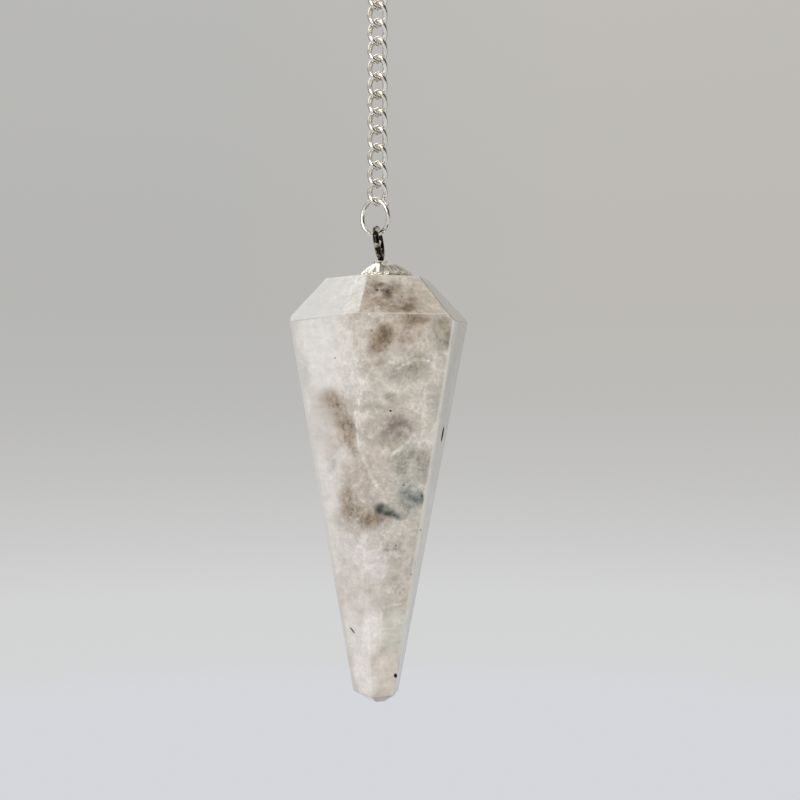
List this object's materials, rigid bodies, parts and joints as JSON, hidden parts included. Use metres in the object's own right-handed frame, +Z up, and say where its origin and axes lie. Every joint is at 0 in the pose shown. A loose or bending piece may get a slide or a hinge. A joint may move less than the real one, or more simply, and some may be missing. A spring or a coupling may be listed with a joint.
{
  "type": "pendulum pendant",
  "caption": "Six-sided tapering moonstone drop with a fluted metal cap and wire eye, hung by a jump ring from a short twisted curb chain that ends in a plain ring.",
  "frame": {"origin": "the inside top of the end ring, where the pendant hangs on a hook or a finger", "axes": "+Z up along the chain, +X to the right and +Y to the back as the picture shows it"},
  "size_m": [0.0181, 0.0183, 0.0815],
  "materials": {
    "silver_wire": "bright silver-plated wire with soft dark reflections",
    "steel_wire": "polished darkened steel wire with small white highlights",
    "bright_metal": "thin pressed sheet, bright and slightly warm",
    "moonstone": "polished milky stone with grey and brown clouds, clear skin and a few dark specks"
  },
  "bodies": {
    "chain": {"end_ring": "silver_wire", "chain_link_01": "silver_wire", "chain_link_02": "silver_wire", "chain_link_03": "silver_wire", "chain_link_04": "silver_wire", "chain_link_05": "silver_wire", "chain_link_06": "silver_wire", "chain_link_07": "silver_wire", "chain_link_08": "silver_wire", "chain_link_09": "silver_wire", "chain_link_10": "silver_wire", "chain_link_11": "silver_wire", "chain_link_12": "silver_wire"},
    "ring": {"jump_ring": "silver_wire"},
    "drop": {"eye": "steel_wire", "cap": "bright_metal", "stone": "moonstone"}
  },
  "joints": [
    {"name": "ring_swing", "type": "hinge", "parent": "chain", "child": "ring", "pos_m": [0, 0, -0.03009], "axis": [0.6157, 0.788, 0], "range_deg": [-45, 45]},
    {"name": "drop_swing", "type": "hinge", "parent": "ring", "child": "drop", "pos_m": [0, 0, -0.03317], "axis": [0.788, -0.6157, 0], "range_deg": [-90, 90]}
  ]
}
